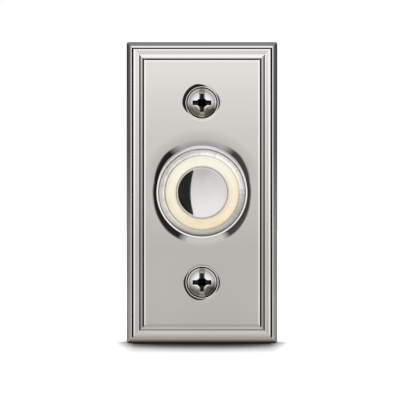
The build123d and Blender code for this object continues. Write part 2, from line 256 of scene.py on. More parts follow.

# Button's collar: radius of its rim, which is painted with a highlight, and of the crescents of painted shade
# and reflection beside it at the sides, above and below, with a faint painted shade farther out above. Their
# arcs are given by the sine of the turn about the button.
collar_edge = 0.01052
collar_lift = 0.0004
collar_shade = 0.01145
collar_shade_above = 0.01245
collar_shade_below = 0.01210
shade_rise = (0.2, 0.7)
shade_drop = (-0.75, -0.15)
shade_top = (0.78, 0.95)
shade_bottom = (-0.96, -0.88)
shade_lean = 0.05
lean_blur = (-0.002, 0.002)
shade_right = 0.93
right_blur = (-0.004, 0.008)
shade_blur = (-0.0003, 0.00012)
collar_blur = (-0.00005, 0.00008)
rim_blur = (-0.0001, 0.0)
shade_above_strength = 0.22
shade_above_reach = (0.0118, 0.0150)
shade_above_arc = (0.1, 0.6)

# Screws' collars: radius of the rim, which is painted with a highlight, and width of the crescents of painted
# shade at the upper left, where the lower screw has a narrower one, and at the right.
seat_edge = 0.00382
seat_shade = 0.00075
seat_shade_low = 0.62 * seat_shade
seat_shade_right = 0.0004
low_to_high = (-0.01, 0.01)

satin_nickel, tree, shader, place = new_finish("satin_nickel")
clouds = grain(tree, place, (60.0, 60.0, 35.0), detail=4.0)
belt_lines = grain(tree, place, (9000.0, 9000.0, 260.0), detail=2.0)
spot = parts_of(tree, place)
height = spot["Z"]
up_plate = product(tree, calculate(tree, "ADD", height, plate_half_height), millimetres)
front_face = spread(tree, facing_of(tree)["Y"], 1.0, 0.0, *front_slope)
# The plated front's tone is painted lighter towards the top: painted light.
plated_and_lit = times(tree, tone_along(tree, up_plate, front_painted_light, plate_height), nickel_tint)
plated_and_lit = between(tree, spread(tree, clouds, 0.0, 0.08), plated_and_lit, nickel_haze)

# The border is painted with light and shade by its distance in from the outline.
from_side = calculate(tree, "SUBTRACT", plate_half_width, calculate(tree, "ABSOLUTE", spot["X"]))
from_end = calculate(tree, "SUBTRACT", plate_half_height, calculate(tree, "ABSOLUTE", height))
inward = product(tree, calculate(tree, "MINIMUM", from_side, from_end), millimetres)
ends = between(
    tree,
    calculate(tree, "GREATER_THAN", height, 0.0),
    tone_along(tree, inward, bottom_tones, border_width),
    tone_along(tree, inward, top_tones, border_width),
)
bevel = between(
    tree,
    spread(tree, inward, 0.0, 1.0, *rim_end),
    tone_along(tree, up_plate, rim_painted_light, plate_height),
    tone_along(tree, up_plate, bevel_painted_light, plate_height),
)
bevel = between(tree, spread(tree, inward, 0.0, 1.0, *bevel_end), bevel, (1.0, 1.0, 1.0))
sides = times(tree, tone_along(tree, inward, side_tones, border_width), bevel)
border = between(tree, calculate(tree, "LESS_THAN", from_side, from_end), ends, sides)
border = between(tree, front_face, (1.0, 1.0, 1.0), border)

away = round_axis(tree, place)[0]
upward = calculate(tree, "DIVIDE", height, away)
past_rim = spread(tree, upward, collar_edge, collar_edge + collar_lift, *shade_rise)
past_rim = calculate(tree, "SUBTRACT", away, past_rim)
past_shade = calculate(
    tree,
    "MAXIMUM",
    spread(tree, upward, collar_shade, collar_shade_above, *shade_rise),
    spread(tree, upward, collar_shade_below, collar_shade, *shade_drop),
)
past_shade = calculate(tree, "SUBTRACT", away, past_shade)
leaning = calculate(tree, "SUBTRACT", upward, spread(tree, spot["X"], 0.0, shade_lean, *lean_blur))
collar_painted_shade = product(
    tree,
    spread(tree, past_shade, 1.0, 0.0, *shade_blur),
    spread(tree, past_rim, 0.0, 1.0, *collar_blur),
    spread(tree, upward, 1.0, 0.0, *shade_top),
    spread(tree, leaning, 0.0, 1.0, *shade_bottom),
    spread(tree, spot["X"], 1.0, shade_right, *right_blur),
)
shade_above_collar = product(
    tree, spread(tree, away, shade_above_strength, 0.0, *shade_above_reach), spread(tree, upward, 0.0, 1.0, *shade_above_arc)
)

beside, seat_turn = round_axis(tree, place, screw_spacing / 2)
past_seat = calculate(tree, "SUBTRACT", beside, seat_edge)


def seat_crescent(degrees, width, widening, showing, depth, inner_blur, outer_blur):
    """Crescent of painted shade at a screw's collar; it widens and shows by the cosine of the turn from its
    middle.
    """
    aimed = calculate(tree, "COSINE", calculate(tree, "SUBTRACT", seat_turn, math.radians(degrees)))
    past_end = calculate(tree, "SUBTRACT", past_seat, spread(tree, aimed, 0.0, width, *widening))
    return product(
        tree,
        spread(tree, past_end, 1.0, 0.0, *outer_blur),
        spread(tree, past_seat, 0.0, 1.0, *inner_blur),
        spread(tree, aimed, 0.0, depth, *showing),
    )


seat_left = seat_crescent(
    degrees=146.0,
    width=spread(tree, height, seat_shade_low, seat_shade, *low_to_high),
    widening=(0.2, 0.8),
    showing=(0.15, 0.45),
    depth=1.0,
    inner_blur=rim_blur,
    outer_blur=(-0.00008, 0.00008),
)
seat_right = seat_crescent(
    degrees=5.0,
    width=seat_shade_right,
    widening=(0.80, 1.0),
    showing=(0.80, 0.92),
    depth=0.9,
    inner_blur=(-0.00005, 0.00005),
    outer_blur=collar_blur,
)
seat_painted_shade = calculate(tree, "MAXIMUM", seat_left, seat_right)

# Crescents of painted shade and reflection round the button's and screws' collars, and a faint painted shade
# above the button.
painted_dark = calculate(tree, "MAXIMUM", calculate(tree, "MAXIMUM", collar_painted_shade, seat_painted_shade), shade_above_collar)
# Painted highlights on the rims of the collars.
lit_share = calculate(
    tree, "MAXIMUM", spread(tree, past_rim, 1.0, 0.0, *rim_blur), spread(tree, past_seat, 1.0, 0.0, *rim_blur)
)
finish = between(tree, product(tree, lit_share, front_face), times(tree, plated_and_lit, border), painted_highlight)
finish = between(tree, product(tree, painted_dark, front_face), finish, painted_shade_colour)

sand = grain(tree, place, (2400.0, 2400.0, 2400.0), detail=4.0)
as_cast = between(tree, spread(tree, sand, 0.0, 1.0), cast_dark, cast_pale)
unpolished = calculate(tree, "SUBTRACT", 1.0, front_face)
unpolished = product(tree, unpolished, spread(tree, inward, 0.0, 1.0, *outline_skin))
polished_rough = spread(tree, belt_lines, 0.16, 0.23)
cast_rough = spread(tree, sand, 0.38, 0.52)
rough_gain = product(tree, unpolished, calculate(tree, "SUBTRACT", cast_rough, polished_rough))
relief = calculate(tree, "ADD", product(tree, belt_lines, belt_share), product(tree, sand, unpolished))
set_shader(
    tree,
    shader,
    base_color=between(tree, unpolished, finish, as_cast),
    metallic=1.0,
    roughness=calculate(tree, "ADD", polished_rough, rough_gain),
)
raise_relief(tree, shader, relief, depth=0.000012)
dress(satin_nickel, "face_plate")


# Mounting screws: oval heads with a cross recess and a shallow slot, in nickel-plated steel. The heads carry
# painted light: painted shade, olive and darkest to the right, where they face down, painted shade in the
# slot and the recess, and painted highlights on the rims and along the recess's edges. The heads and plain
# necks are turned and punched; behind the plate a coarse thread is rolled on a thinner core and runs out on
# the point.
neck_end = -0.0004
core_start = -0.0008
core_radius = 0.00120
tip_radius = 0.00022
thread_pitch = 0.00140
ridge_half = 0.00045
ridge_seat = 0.00010
point_length = 0.0045
ridge_least = 0.15
run_in = (0.0, 0.06)
run_out = (0.86, 0.99)
head_depth = 0.0035
tip_margin = 0.0002
head_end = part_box("mounting_screws")[0].y + head_depth
thread_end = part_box("mounting_screws")[1].y - tip_margin
sharp_angle = math.radians(38.0)
slot_edge = (0.00045, 0.00075)
slot_shade = (0.42, 0.385, 0.30)
plate_dull = (0.88, 0.865, 0.83)
plate_bright = (0.97, 0.955, 0.93)
olive_shade_left = (0.21, 0.20, 0.165)
olive_shade_right = (0.07, 0.066, 0.055)
recess_shade = (0.018, 0.019, 0.021)

# Slopes by the direction that the surface faces: Z for the painted shade below, X for its olive tint, darkest
# to the right, and Y for the back.
downward_shade_slope = (-0.17, 0.04)
olive_shade_slope = (-0.2, 0.3)
back_slope = (0.1, 0.2)

# Cross recess: half the arms' width, their reach, and the product of both distances from the middle
# lines where the flanks between the arms end.
recess_arm = 0.00040
recess_reach = 0.0021
recess_flank = 0.00000060
recess_blur = 0.0001
recess_depth = 0.0016
recess_open = (0.50, 0.80)
# Painted highlight along the edges of the recess, and where it ends.
edge_highlight_strength = 0.75
edge_highlight_end = (0.0019, 0.0022)

# Tones of a head, by millimetres from its middle: painted light and shade.
head_span = 4.0
head_tones = (
    (0.0, 1.0), (1.7, 1.1), (2.2, 0.95),  # crown
    (2.7, 0.62), (3.0, 0.42),  # shaded shoulder
    (3.15, 0.9), (3.28, 0.8),  # painted highlight on the rim
    (3.38, 0.02),  # painted shade in the gap to the collar
)


def hollows(tree, reach):
    """1 on open surface, falling to 0 deep in a corner or a recess."""
    return add_node(tree, "ShaderNodeAmbientOcclusion", {"Distance": reach}, samples=8).outputs["AO"]


def unrolled(tree, place, away, turn):
    """Place on a round piece as its distance from the axis, its turn and its depth."""
    return vector_of(tree, X=away, Y=turn, Z=parts_of(tree, place)["Y"])


def turning_lines(tree, flow, per_metre):
    """Fine rings left by a turning tool or a polishing wheel."""
    return grain(tree, flow, (per_metre, 1.2, per_metre), detail=2.0)


screw_nickel, tree, shader, place = new_finish("screw_nickel")
away, turn = round_axis(tree, place, screw_spacing / 2)
rings = turning_lines(tree, unrolled(tree, place, away, turn), 5000.0)
clouds = grain(tree, place, (300.0, 300.0, 300.0), detail=3.0)
facing = facing_of(tree)
# The heads are painted darker and olive where they face down, darkest to the right: painted shade.
facing_up = calculate(tree, "ADD", facing["Z"], spread(tree, clouds, -0.05, 0.05))
downward_shade = spread(tree, facing_up, 1.0, 0.0, *downward_shade_slope)
olive_shade = between(tree, spread(tree, facing["X"], 0.0, 1.0, *olive_shade_slope), olive_shade_left, olive_shade_right)
head_colour_and_light = between(tree, spread(tree, clouds, 0.0, 1.0), plate_dull, plate_bright)
head_colour_and_light = between(tree, downward_shade, head_colour_and_light, olive_shade)

spot = parts_of(tree, place)
aside = calculate(tree, "ABSOLUTE", spot["X"])
above = calculate(tree, "ABSOLUTE", product(tree, away, calculate(tree, "SINE", turn)))
# The slot is painted darker and sandy: painted shade.
head_colour_and_light = between(tree, spread(tree, aside, 1.0, 0.0, *slot_edge), head_colour_and_light, slot_shade)
flank = product(tree, aside, above)
recess_edge_highlight = spread(tree, flank, edge_highlight_strength, 0.0, 1.25 * recess_flank, 2.2 * recess_flank)
recess_edge_highlight = product(tree, recess_edge_highlight, spread(tree, away, 1.0, 0.0, *edge_highlight_end))
head_colour_and_light = between(tree, recess_edge_highlight, head_colour_and_light, plate_bright)
head_colour_and_light = times(tree, head_colour_and_light, tone_along(tree, product(tree, away, millimetres), head_tones, head_span))

# The cross recess is painted near black, darkest deep inside: painted shade.
recess = calculate(
    tree,
    "MAXIMUM",
    spread(tree, flank, 1.0, 0.0, 0.8 * recess_flank, 1.2 * recess_flank),
    spread(tree, calculate(tree, "MINIMUM", aside, above), 1.0, 0.0, recess_arm, recess_arm + recess_blur),
)
farthest = calculate(tree, "MAXIMUM", aside, above)
recess = product(tree, recess, spread(tree, farthest, 1.0, 0.0, recess_reach - recess_blur, recess_reach))
on_head = calculate(tree, "LESS_THAN", spot["Y"], head_end)
in_front = spread(tree, facing["Y"], 1.0, 0.0, *back_slope)
open_head = calculate(tree, "SUBTRACT", 1.0, product(tree, recess, product(tree, in_front, on_head)))
lit_depth = spread(tree, hollows(tree, recess_depth), 0.0, 1.0, *recess_open)
set_shader(
    tree,
    shader,
    base_color=between(tree, calculate(tree, "MINIMUM", lit_depth, open_head), recess_shade, head_colour_and_light),
    metallic=1.0,
    roughness=spread(tree, rings, 0.20, 0.30),
)
raise_relief(tree, shader, rings, depth=0.0000015)


def new_tree(name, sizes):
    """Geometry tree with a named length input for each size, and its input sockets."""
    tree = bpy.data.node_groups.new(name, "GeometryNodeTree")
    tree.interface.new_socket("Geometry", in_out="INPUT", socket_type="NodeSocketGeometry")
    for size in sizes:
        tree.interface.new_socket(size, in_out="INPUT", socket_type="NodeSocketFloat")
    tree.interface.new_socket("Finish", in_out="INPUT", socket_type="NodeSocketMaterial")
    tree.interface.new_socket("Geometry", in_out="OUTPUT", socket_type="NodeSocketGeometry")
    return tree, add_node(tree, "NodeGroupInput").outputs


def end_tree(tree, shape, finish):
    real = add_node(tree, "GeometryNodeRealizeInstances", {"Geometry": shape}).outputs[0]
    painted = add_node(tree, "GeometryNodeSetMaterial", {"Geometry": real, "Material": finish})
    add_node(tree, "NodeGroupOutput", {"Geometry": painted.outputs[0]})


def helix(tree, share, turns, radius, level, steps):
    """Curve round the Y axis, with its normals turned outwards."""
    line = add_node(tree, "GeometryNodeCurvePrimitiveLine").outputs[0]
    line = add_node(tree, "GeometryNodeResampleCurve", {"Curve": line, "Count": steps}).outputs[0]
    angle = product(tree, share, product(tree, turns, math.tau))
    across = calculate(tree, "COSINE", angle)
    upward = calculate(tree, "SINE", angle)
    outward = vector_of(tree, X=across, Z=upward)
    point = vector_of(tree, X=product(tree, across, radius), Y=level, Z=product(tree, upward, radius))
    curve = add_node(tree, "GeometryNodeSetPosition", {"Geometry": line, "Position": point})
    return add_node(
        tree,
        "GeometryNodeSetCurveNormal",
        {"Curve": curve.outputs[0], "Normal": outward},
        mode="FREE",
    ).outputs[0]


def sweep(tree, curve, corners, scale):
    """Solid of a regular outline with one corner turned outwards, swept along a curve."""
    outline = add_node(tree, "GeometryNodeCurvePrimitiveCircle", {"Resolution": corners, "Radius": 1.0})
    tube = {"Curve": curve, "Profile Curve": outline.outputs[0], "Scale": scale, "Fill Caps": True}
    return add_node(tree, "GeometryNodeCurveToMesh", tube).outputs[0]


def grow(name, tree, sizes, finish, start=()):
    """Runs a tree on a few start points and gives its result as a plain mesh."""
    mesh = bpy.data.meshes.new(name)
    mesh.from_pydata(start, [], [])
    piece = bpy.data.objects.new(name, mesh)
    bpy.context.scene.collection.objects.link(piece)
    modifier = piece.modifiers.new("shape", "NODES")
    modifier.node_group = tree
    for socket in tree.interface.items_tree:
        if socket.in_out == "INPUT" and socket.name in sizes:
            modifier[socket.identifier] = sizes[socket.name]
        elif socket.in_out == "INPUT" and socket.name == "Finish":
            modifier[socket.identifier] = finish
    shown = piece.evaluated_get(bpy.context.evaluated_depsgraph_get())
    grown = bpy.data.meshes.new_from_object(shown)
    piece.modifiers.clear()
    piece.data = grown
    bpy.data.meshes.remove(mesh)
    grown.name = name
    return piece


thread_tree, size = new_tree(
    "rolled_thread",
    ("Core Radius", "Tip Radius", "Pitch", "Ridge", "Ridge Seat", "Start", "Length", "Point", "Spacing"),
)
share = add_node(thread_tree, "GeometryNodeSplineParameter").outputs["Factor"]
level = product(thread_tree, share, size["Length"])
point_start = calculate(thread_tree, "SUBTRACT", size["Length"], size["Point"])


def core_at(level):
    """Radius of the core, which tapers along the point."""
    return spread(
        thread_tree, level, size["Core Radius"], size["Tip Radius"], point_start, size["Length"]
    )


turns = calculate(thread_tree, "DIVIDE", size["Length"], size["Pitch"])
ridge_radius = calculate(thread_tree, "ADD", core_at(level), size["Ridge Seat"])
path = helix(thread_tree, share, turns, ridge_radius, level, steps=720)
growing = spread(thread_tree, share, ridge_least, 1.0, *run_in)
fading = spread(thread_tree, share, 1.0, ridge_least, *run_out)
ridge_size = product(thread_tree, size["Ridge"], product(thread_tree, growing, fading))
ridge = sweep(thread_tree, path, corners=3, scale=ridge_size)
axis = {
    "Start": vector_of(thread_tree, Y=size["Start"]),
    "End": vector_of(thread_tree, Y=size["Length"]),
}
axis = add_node(thread_tree, "GeometryNodeCurvePrimitiveLine", axis).outputs[0]
axis = add_node(thread_tree, "GeometryNodeResampleCurve", {"Curve": axis, "Count": 64}).outputs[0]
along_axis = parts_of(thread_tree, add_node(thread_tree, "GeometryNodeInputPosition").outputs[0])["Y"]
core = sweep(thread_tree, axis, corners=28, scale=core_at(along_axis))
screw = add_node(thread_tree, "GeometryNodeJoinGeometry", {"Geometry": ridge})
thread_tree.links.new(core, screw.inputs[0])
lowest = product(thread_tree, calculate(thread_tree, "DIVIDE", size["Spacing"], 2.0), -1.0)
places = add_node(
    thread_tree,
    "GeometryNodeMeshLine",
    {
        "Count": 2,
        "Start Location": vector_of(thread_tree, Z=lowest),
        "Offset": vector_of(thread_tree, Z=size["Spacing"]),
    },
).outputs[0]
pair = add_node(thread_tree, "GeometryNodeInstanceOnPoints", {"Points": places, "Instance": screw.outputs[0]})
end_tree(thread_tree, pair.outputs[0], size["Finish"])
wall_screws = grow(
    "wall_screws",
    thread_tree,
    {
        "Core Radius": core_radius,
        "Tip Radius": tip_radius,
        "Pitch": thread_pitch,
        "Ridge": ridge_half,
        "Ridge Seat": ridge_seat,
        "Start": core_start,
        "Length": thread_end,
        "Point": point_length,
        "Spacing": screw_spacing,
    },
    screw_nickel,
)


def cut_behind(node, level):
    """Copy of a solid node in front of a level, closed at the cut, with the node's own shading."""
    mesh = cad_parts[node].data.copy()
    kept = mesh.attributes.new("shading", "FLOAT_VECTOR", "CORNER")
    normals = [0.0] * (3 * len(mesh.loops))
    mesh.corner_normals.foreach_get("vector", normals)
    kept.data.foreach_set("vector", normals)
    shape = bmesh.new()
    shape.from_mesh(mesh)
    bmesh.ops.remove_doubles(shape, verts=shape.verts, dist=1e-7)
    everything = shape.verts[:] + shape.edges[:] + shape.faces[:]
    bmesh.ops.bisect_plane(
        shape, geom=everything, plane_co=(0, level, 0), plane_no=(0, 1, 0), clear_outer=True
    )
    rim = [edge for edge in shape.edges if edge.is_boundary]
    bmesh.ops.holes_fill(shape, edges=rim)
    return mesh, shape


head_mesh, heads = cut_behind("mounting_screws", neck_end)
heads.from_mesh(wall_screws.data)
heads.to_mesh(head_mesh)
heads.free()
head_mesh.materials.clear()
head_mesh.materials.append(screw_nickel)
for polygon in head_mesh.polygons:
    polygon.material_index = 0
    polygon.use_smooth = True
head_mesh.set_sharp_from_angle(angle=sharp_angle)

# The heads keep the node's own shading; the thread has none stored and takes the plain one.
stored = head_mesh.attributes["shading"].data
own = [tuple(stored[i].vector) for i in range(len(head_mesh.loops))]
plain = [tuple(head_mesh.corner_normals[i].vector) for i in range(len(head_mesh.loops))]
head_mesh.normals_split_custom_set([
    kept if sum(part * part for part in kept) > 0.5 else auto for kept, auto in zip(own, plain)
])
head_mesh.attributes.remove(head_mesh.attributes["shading"])
wall_screws.data = head_mesh
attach(wall_screws, "plate")
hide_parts("mounting_screws")


# Button sleeve: ring with a rounded front, moulded in pearly plastic with a faint painted glow for the light
# beside it. Painted highlights make it brightest and most streaked at the upper right, painted shade dulls it
# below, and a painted dark line runs along the lower part of its outer edge. It slides in the plate's collar,
# and its flange stops behind the plate.
pearl_dull = (0.62, 0.605, 0.565)
pearl_pale = (0.80, 0.79, 0.75)
sleeve_glow_warm = (1.0, 0.90, 0.70)
sleeve_glow_pale = (1.0, 0.95, 0.84)
ray_way = (0.95, 0.0, 0.31)
ray_turn = (-0.1, 0.8)
ray_faint = 0.92
ray_strong = 0.74
ray_full = 1.08

# Direction, range of cosines of the turn from it, and colour of each tint of the sleeve: painted shade at the
# lower right and a painted highlight at the upper right.
sleeve_tints = (
    ((0.5, 0.0, -0.87), (-0.1, 0.9), (0.43, 0.415, 0.385)),
    ((0.62, 0.0, 0.78), (0.55, 0.95), (1.0, 0.995, 0.98)),
)

# The same for the tints of its outer edge, with the radii where each comes in: a dark line of painted shade
# along the bottom and a painted highlight at the upper left.
edge_tints = (
    ((0.0, 0.0, -1.0), (0.70, 0.95), (0.09, 0.075, 0.07), (0.0095, 0.0099)),
    ((-0.87, 0.0, 0.5), (0.2, 0.8), (1.0, 0.99, 0.97), (0.0094, 0.0098)),
)


def reach_along(tree, place, way):
    reach = add_node(tree, "ShaderNodeVectorMath", {0: place, 1: way}, operation="DOT_PRODUCT")
    return reach.outputs["Value"]


def towards(tree, place, away, way, start, end):
    """0 to 1 round the axis towards a direction, between two cosines of the turn from it."""
    cosine = calculate(tree, "DIVIDE", reach_along(tree, place, way), away)
    return spread(tree, cosine, 0.0, 1.0, start, end)


pearl_plastic, tree, shader, place = new_finish("pearl_plastic")
away, turn = round_axis(tree, place)
flow = unrolled(tree, place, away, turn)
streaks = grain(tree, flow, (260.0, 9.0, 260.0), detail=4.0)
highlight_rays = grain(tree, flow, (150.0, 11.0, 150.0), detail=3.0)
flakes = grain(tree, place, (5200.0, 5200.0, 5200.0), detail=2.0)
pearl = between(tree, spread(tree, streaks, 0.0, 1.0), pearl_dull, pearl_pale)
for way, turned, tint in sleeve_tints:
    pearl = between(tree, towards(tree, place, away, way, *turned), pearl, tint)
# Streaks of painted highlight, with the most contrast towards the right.
ray_side = towards(tree, place, away, ray_way, *ray_turn)
ray_low = spread(tree, ray_side, ray_faint, ray_strong, 0.0, 1.0)
pearl = between(tree, spread(tree, highlight_rays, ray_low, ray_full), (0.0, 0.0, 0.0), pearl)
for way, turned, tint, radii in edge_tints:
    shown = product(tree, spread(tree, away, 0.0, 1.0, *radii), towards(tree, place, away, way, *turned))
    pearl = between(tree, shown, pearl, tint)
set_shader(
    tree,
    shader,
    base_color=pearl,
    metallic=0.22,
    roughness=spread(tree, flakes, 0.26, 0.40),
    emission_color=between(tree, spread(tree, streaks, 0.0, 1.0), sleeve_glow_warm, sleeve_glow_pale),
    emission_strength=0.05,
    coat_weight=0.4,
    coat_roughness=0.12,
)
raise_relief(tree, shader, streaks, depth=0.000006)
dress(pearl_plastic, "button_sleeve")


# Light ring: milky moulding whose glow is painted light for the lamps behind it. Its glow and its colour are
# painted warmest over the lamp at the bottom, and painted shade darkens both edges, most at the left of the
# outer one.
light_inner = 0.0060
light_outer = 0.00862
light_edge_fade = 0.00032
edge_light = 0.6
edge_shade_colour = (0.16, 0.15, 0.08)
lamp_way = (0.22, 0.0, -0.975)
lamp_reach = (-0.0055, 0.0078)
shaded_way = (-0.97, 0.0, 0.24)
shaded_turn = (0.3, 0.9)
swirl_share = 0.35
warmth_inner = 0.55
warmth_outer = 1.25

# Painted glow and milky plastic away from the lamp, over it, and in the swirls; the plastic is painted warmer
# over the lamp as well.
pale_light = (1.0, 0.955, 0.80)
warm_light = (1.0, 0.79, 0.43)
swirl_light = (1.0, 0.98, 0.88)
pale_milk = (0.56, 0.535, 0.45)
warm_milk = (0.53, 0.42, 0.25)
swirl_milk = (0.66, 0.65, 0.58)

lit_plastic, tree, shader, place = new_finish("lit_plastic")
away, turn = round_axis(tree, place)
haze = grain(tree, place, (220.0, 220.0, 220.0), detail=3.0)
swirl = grain(tree, unrolled(tree, place, away, turn), (900.0, 1.6, 200.0), detail=3.0)
swirl = spread(tree, swirl, 0.0, swirl_share)
warmth = spread(tree, reach_along(tree, place, lamp_way), 0.0, 1.0, *lamp_reach)
warmth = product(tree, warmth, spread(tree, away, warmth_inner, warmth_outer, light_inner, light_outer))
glow = between(tree, swirl, between(tree, warmth, pale_light, warm_light), swirl_light)
moulded = between(tree, swirl, between(tree, warmth, pale_milk, warm_milk), swirl_milk)
# Both edges are painted darker with painted shade, the outer one most at the left.
shaded = towards(tree, place, away, shaded_way, *shaded_turn)
outer_light = spread(tree, shaded, edge_light, 0.0, 0.0, 1.0)
unshaded_face = product(
    tree,
    spread(tree, away, 1.0, outer_light, light_outer - light_edge_fade, light_outer),
    spread(tree, away, edge_light, 1.0, light_inner, light_inner + light_edge_fade),
)
set_shader(
    tree,
    shader,
    base_color=between(tree, unshaded_face, edge_shade_colour, moulded),
    roughness=spread(tree, haze, 0.22, 0.34),
    emission_color=between(tree, unshaded_face, (0.0, 0.0, 0.0), glow),
    emission_strength=0.30,
)
raise_relief(tree, shader, haze, depth=0.000004)
dress(lit_plastic, "light_ring")


# Cap: turned and polished disc with a domed face, on a stem through the middle of the light
# ring. Fine wheel marks follow the turning, with a few straight scratches from use.
dome_radius = 0.0119
dome_middle = (0.0007, 0.0009)
unmarked = (0.0003, 0.0012)
cap_dull = (0.73, 0.70, 0.69)
cap_bright = (0.78, 0.75, 0.74)

cap_nickel, tree, shader, place = new_finish("cap_nickel")
away, turn = round_axis(tree, place)
rings = turning_lines(tree, unrolled(tree, place, away, turn), 6000.0)
scratches = grain(tree, place, (400.0, 400.0, 6500.0), detail=2.0)
marks = product(tree, rings, scratches, spread(tree, away, 0.0, 1.0, *unmarked))
clouds = grain(tree, place, (180.0, 180.0, 180.0), detail=2.0)
set_shader(
    tree,
    shader,
    base_color=between(tree, spread(tree, clouds, 0.0, 1.0), cap_dull, cap_bright),
    metallic=0.97,
    roughness=spread(tree, marks, 0.05, 0.10, 0.1, 0.4),
)

# Near the middle, where the mesh comes to a point, the slope is that of the true dome.
spot = parts_of(tree, place)
dome = vector_of(tree, X=spot["X"], Y=-dome_radius, Z=spot["Z"])
dome = add_node(tree, "ShaderNodeVectorMath", {0: dome}, operation="NORMALIZE").outputs[0]
surface = add_node(
    tree,
    "ShaderNodeMix",
    {
        0: spread(tree, away, 1.0, 0.0, *dome_middle),
        4: add_node(tree, "ShaderNodeNewGeometry").outputs["Normal"],
        5: dome,
    },
    data_type="VECTOR",
).outputs[1]
raise_relief(tree, shader, marks, depth=0.0000008, surface=surface)
dress(cap_nickel, "button_cap")


# Contact bridge, fixed contacts and terminal screws: stamped, bent and turned brass, bright
# where the die has rubbed it and slightly tarnished elsewhere.
def grained_finish(name, metallic, colour_grain, colours, rough_grain, rough, relief):
    """Finish whose colour and roughness follow two grains, each its waves to the metre and its detail."""
    material, tree, shader, place = new_finish(name)
    shade = grain(tree, place, *colour_grain)
    texture = grain(tree, place, *rough_grain)
    set_shader(
        tree,
        shader,
        base_color=between(tree, spread(tree, shade, 0.0, 1.0), *colours),
        metallic=metallic,
        roughness=spread(tree, texture, *rough),
    )
    raise_relief(tree, shader, texture, depth=relief)
    return material


contact_brass = grained_finish(
    "contact_brass",
    metallic=1.0,
    colour_grain=((420.0, 420.0, 420.0), 5.0),
    colours=((0.45, 0.29, 0.10), (0.66, 0.47, 0.20)),
    rough_grain=((9000.0, 500.0, 500.0), 2.0),
    rough=(0.22, 0.38),
    relief=0.000002,
)
dress(contact_brass, "contact_bridge", "contact_right", "contact_left", "terminal_screws")


# Stem clip and return spring: spring steel. The clip is pressed on the end of the stem, and the
# coil stands between the floor of the barrel and the bridge, with a closed turn at each end.
coil_radius = 0.00225
wire_radius = 0.00022
coil_turns = 7
closed_turns = 0.8
closed_share = closed_turns / coil_turns
coil_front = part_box("return_spring")[0].y + wire_radius
coil_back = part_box("return_spring")[1].y - wire_radius

drawn = ((3000.0, 3000.0, 3000.0), 4.0)
spring_steel = grained_finish(
    "spring_steel",
    metallic=1.0,
    colour_grain=drawn,
    colours=((0.40, 0.40, 0.41), (0.56, 0.56, 0.57)),
    rough_grain=drawn,
    rough=(0.20, 0.34),
    relief=0.000001,
)
dress(spring_steel, "stem_clip")

coil_tree, size = new_tree("coil", ("Radius", "Wire", "Turns", "Front", "Back", "Closed"))
share = add_node(coil_tree, "GeometryNodeSplineParameter").outputs["Factor"]
rise = {
    "Value": share,
    "From Min": size["Closed"],
    "From Max": calculate(coil_tree, "SUBTRACT", 1.0, size["Closed"]),
    "To Min": size["Front"],
    "To Max": size["Back"],
}
level = add_node(coil_tree, "ShaderNodeMapRange", rise, interpolation_type="SMOOTHSTEP").outputs[0]
path = helix(coil_tree, share, size["Turns"], size["Radius"], level, steps=420)
end_tree(coil_tree, sweep(coil_tree, path, corners=14, scale=size["Wire"]), size["Finish"])
return_coil = grow(
    "return_coil",
    coil_tree,
    {
        "Radius": coil_radius,
        "Wire": wire_radius,
        "Turns": float(coil_turns),
        "Front": coil_front,
        "Back": coil_back,
        "Closed": closed_share,
    },
    spring_steel,
)
return_coil.data.polygons.foreach_set("use_smooth", [True] * len(return_coil.data.polygons))
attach(return_coil, "plate")
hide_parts("return_spring")
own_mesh(return_coil)


# Switch base: black phenolic moulding with a flange against the plate's posts and a barrel that goes into the
# wall. It has the fine spark-eroded texture of its mould, and its corners are painted darker with painted
# shade.
corner_reach = 0.0015
corner_open = (0.4, 1.0)
corner_shade = (0.012, 0.012, 0.012)
flow_black = (0.016, 0.016, 0.017)
flow_grey = (0.030, 0.029, 0.028)

black_moulding, tree, shader, place = new_finish("black_moulding")
spark = grain(tree, place, (4200.0, 4200.0, 4200.0), detail=3.0)
flow = grain(tree, place, (70.0, 70.0, 70.0), detail=3.0)
# Corners are painted darker: painted shade.
lit_share = spread(tree, hollows(tree, corner_reach), 0.0, 1.0, *corner_open)
shade = between(tree, spread(tree, flow, 0.0, 1.0), flow_black, flow_grey)
set_shader(
    tree,
    shader,
    base_color=between(tree, lit_share, corner_shade, shade),
    roughness=spread(tree, spark, 0.42, 0.60),
)
raise_relief(tree, shader, spark, depth=0.000018)
dress(black_moulding, "switch_base")


# Base screws and terminal washers: steel with a bright zinc plate, which is faintly blue in
# patches and has fine crystals.
zinc_steel = grained_finish(
    "zinc_steel",
    metallic=1.0,
    colour_grain=((350.0, 350.0, 350.0), 2.0),
    colours=((0.58, 0.59, 0.60), (0.62, 0.65, 0.70)),
    rough_grain=((1500.0, 1500.0, 1500.0), 4.0),
    rough=(0.22, 0.36),
    relief=0.000002,
)
dress(zinc_steel, "base_screws", "terminal_washers")


# Circuit board and its leads: ring of brown paper laminate on a ledge in the barrel, and tinned
# wire. The solder joints round the legs and leads are small round fillets on the board's two faces.
solder_radius = 0.00062
solder_height = 0.00030
leg_step = 0.000635
lamps = ("led_1", "led_2", "led_3")
leads = ("board_lead_right", "board_lead_left")
board_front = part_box("circuit_board")[0].y
board_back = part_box("circuit_board")[1].y

fibres = ((3200.0, 3200.0, 500.0), 4.0)
board_laminate = grained_finish(
    "board_laminate",
    metallic=0.0,
    colour_grain=fibres,
    colours=((0.36, 0.23, 0.08), (0.52, 0.36, 0.15)),
    rough_grain=fibres,
    rough=(0.38, 0.55),
    relief=0.000006,
)
dress(board_laminate, "circuit_board")

